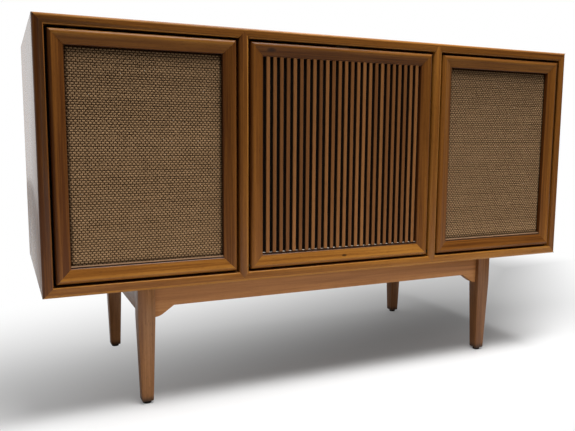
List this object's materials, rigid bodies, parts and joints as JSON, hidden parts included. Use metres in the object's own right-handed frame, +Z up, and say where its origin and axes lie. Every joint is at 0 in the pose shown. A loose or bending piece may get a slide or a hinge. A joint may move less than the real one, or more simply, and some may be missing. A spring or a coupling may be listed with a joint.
{
  "type": "stereo console",
  "caption": "Long walnut stereo console on tapered legs: framed cloth speaker grilles flank a slatted drop-front door over a record player and tuner.",
  "frame": {"origin": "on the floor, under the centre of the cabinet", "axes": "+X along the front to the right as seen from the front, +Y from the front to the back, +Z up"},
  "size_m": [1.16, 0.47, 0.703],
  "materials": {
    "walnut": "satin lacquer",
    "slat_walnut": "satin lacquer",
    "inner_board": "plain veneer",
    "softwood": "raw pine",
    "black_board": "matt black stain",
    "hardboard": "smooth hardboard",
    "grille_cloth": "coarse open weave",
    "steel": "zinc plated",
    "brass": "satin",
    "painted_steel": "satin enamel",
    "chassis_steel": "wrinkle enamel",
    "cone_paper": "pressed pulp",
    "black_plastic": "moulded",
    "latch_plastic": "moulded",
    "platter_metal": "turned",
    "rubber": "matt",
    "panel_metal": "brushed, champagne",
    "knob_metal": "turned",
    "dial_glass": "clear",
    "pointer_red": "gloss"
  },
  "bodies": {
    "cabinet": {"back_apron": "walnut", "back_panel": "hardboard", "bottom_panel": "inner_board", "changer_deck": "painted_steel", "cord_inlet": "black_plastic", "corner_blocks": "softwood", "deck_bearers": "softwood", "deck_mounts": "rubber", "dial_glass": "dial_glass", "divider_edging": "walnut", "drive_motor": "painted_steel", "face_edging": "walnut", "foot_glides": "steel", "front_apron": "walnut", "inner_battens": "softwood", "latch_body": "black_plastic", "left_apron": "walnut", "left_baffle": "black_board", "left_divider": "inner_board", "left_grille_cloth": "grille_cloth", "left_grille_frame": "walnut", "left_side_panel": "walnut", "legs": "walnut", "right_apron": "walnut", "right_baffle": "black_board", "right_divider": "inner_board", "right_grille_cloth": "grille_cloth", "right_grille_frame": "walnut", "right_side_panel": "walnut", "spindle": "steel", "stay_guides": "brass", "tonearm_rest": "black_plastic", "top_panel": "walnut", "tuner_chassis": "chassis_steel", "tuner_front_panel": "panel_metal", "tuner_shelf": "inner_board", "tweeters": "painted_steel", "wood_screws": "steel", "woofer_baskets": "painted_steel"},
    "door": {"door_frame": "walnut", "door_slats": "slat_walnut", "door_back_board": "black_board", "door_pivot_pins": "brass", "door_stays": "brass", "latch_strike": "steel"},
    "left_cone": {"left_woofer_cone": "cone_paper"},
    "right_cone": {"right_woofer_cone": "cone_paper"},
    "plunger": {"latch_plunger": "latch_plastic"},
    "turntable": {"platter": "platter_metal", "platter_mat": "rubber"},
    "idler": {"idler_wheel": "rubber"},
    "pulley": {"motor_pulley": "brass"},
    "arm_base": {"tonearm_pivot": "platter_metal"},
    "arm": {"tonearm": "platter_metal"},
    "lever": {"speed_lever": "black_plastic"},
    "pointer": {"dial_pointer": "pointer_red"},
    "tuning": {"tuning_knob": "knob_metal"},
    "volume": {"volume_knob": "knob_metal"},
    "tone": {"tone_knob": "knob_metal"},
    "selector": {"selector_knob": "knob_metal"}
  },
  "joints": [
    {"name": "door_drop", "type": "hinge", "parent": "cabinet", "child": "door", "pos_m": [0, -0.2275, 0.2595], "axis": [1, 0, 0], "range_deg": [0, 83]},
    {"name": "left_cone_move", "type": "slide", "parent": "cabinet", "child": "left_cone", "axis": [0, 1, 0], "range_m": [-0.003, 0.003], "stiffness_N_per_m": 2000},
    {"name": "right_cone_move", "type": "slide", "parent": "cabinet", "child": "right_cone", "axis": [0, 1, 0], "range_m": [-0.003, 0.003], "stiffness_N_per_m": 2000},
    {"name": "latch_push", "type": "slide", "parent": "cabinet", "child": "plunger", "axis": [0, 1, 0], "range_m": [0, 0.004], "stiffness_N_per_m": 400, "springref_m": -0.004},
    {"name": "platter_spin", "type": "hinge", "parent": "cabinet", "child": "turntable", "pos_m": [-0.03, 0.005, 0.355], "axis": [0, 0, 1], "continuous": true},
    {"name": "idler_spin", "type": "hinge", "parent": "cabinet", "child": "idler", "pos_m": [-0.09402, 0.09036, 0.352], "axis": [0, 0, 1], "continuous": true},
    {"name": "pulley_spin", "type": "hinge", "parent": "cabinet", "child": "pulley", "pos_m": [-0.08064, 0.07252, 0.3525], "axis": [0, 0, 1], "continuous": true},
    {"name": "tonearm_swing", "type": "hinge", "parent": "cabinet", "child": "arm_base", "pos_m": [0.135, 0.105, 0.38], "axis": [0, 0, -1], "range_deg": [0, 43]},
    {"name": "tonearm_lift", "type": "hinge", "parent": "arm_base", "child": "arm", "pos_m": [0.135, 0.105, 0.38], "axis": [-1, 0, 0], "range_deg": [0, 12]},
    {"name": "speed_lever_turn", "type": "hinge", "parent": "cabinet", "child": "lever", "pos_m": [-0.15, -0.117, 0.35], "axis": [0, 0, 1], "range_deg": [-25, 25]},
    {"name": "tuning_turn", "type": "hinge", "parent": "cabinet", "child": "tuning", "pos_m": [0.158, -0.19, 0.625], "axis": [0, 1, 0], "range_deg": [-900, 900]},
    {"name": "pointer_slide", "type": "slide", "parent": "cabinet", "child": "pointer", "axis": [1, 0, 0], "range_m": [-0.091, 0.091]},
    {"name": "volume_turn", "type": "hinge", "parent": "cabinet", "child": "volume", "pos_m": [-0.06, -0.19, 0.568], "axis": [0, 1, 0], "range_deg": [0, 300]},
    {"name": "tone_turn", "type": "hinge", "parent": "cabinet", "child": "tone", "pos_m": [0.06, -0.19, 0.568], "axis": [0, 1, 0], "range_deg": [-150, 150]},
    {"name": "selector_turn", "type": "hinge", "parent": "cabinet", "child": "selector", "pos_m": [-0.158, -0.19, 0.625], "axis": [0, 1, 0], "range_deg": [-60, 60]}
  ],
  "couplings": [
    {"joint": "idler_spin", "follows": "platter_spin", "ratio": 6.9444},
    {"joint": "pulley_spin", "follows": "platter_spin", "ratio": -31.25},
    {"joint": "pointer_slide", "follows": "tuning_turn", "m_per_rad": 0.0057296}
  ]
}
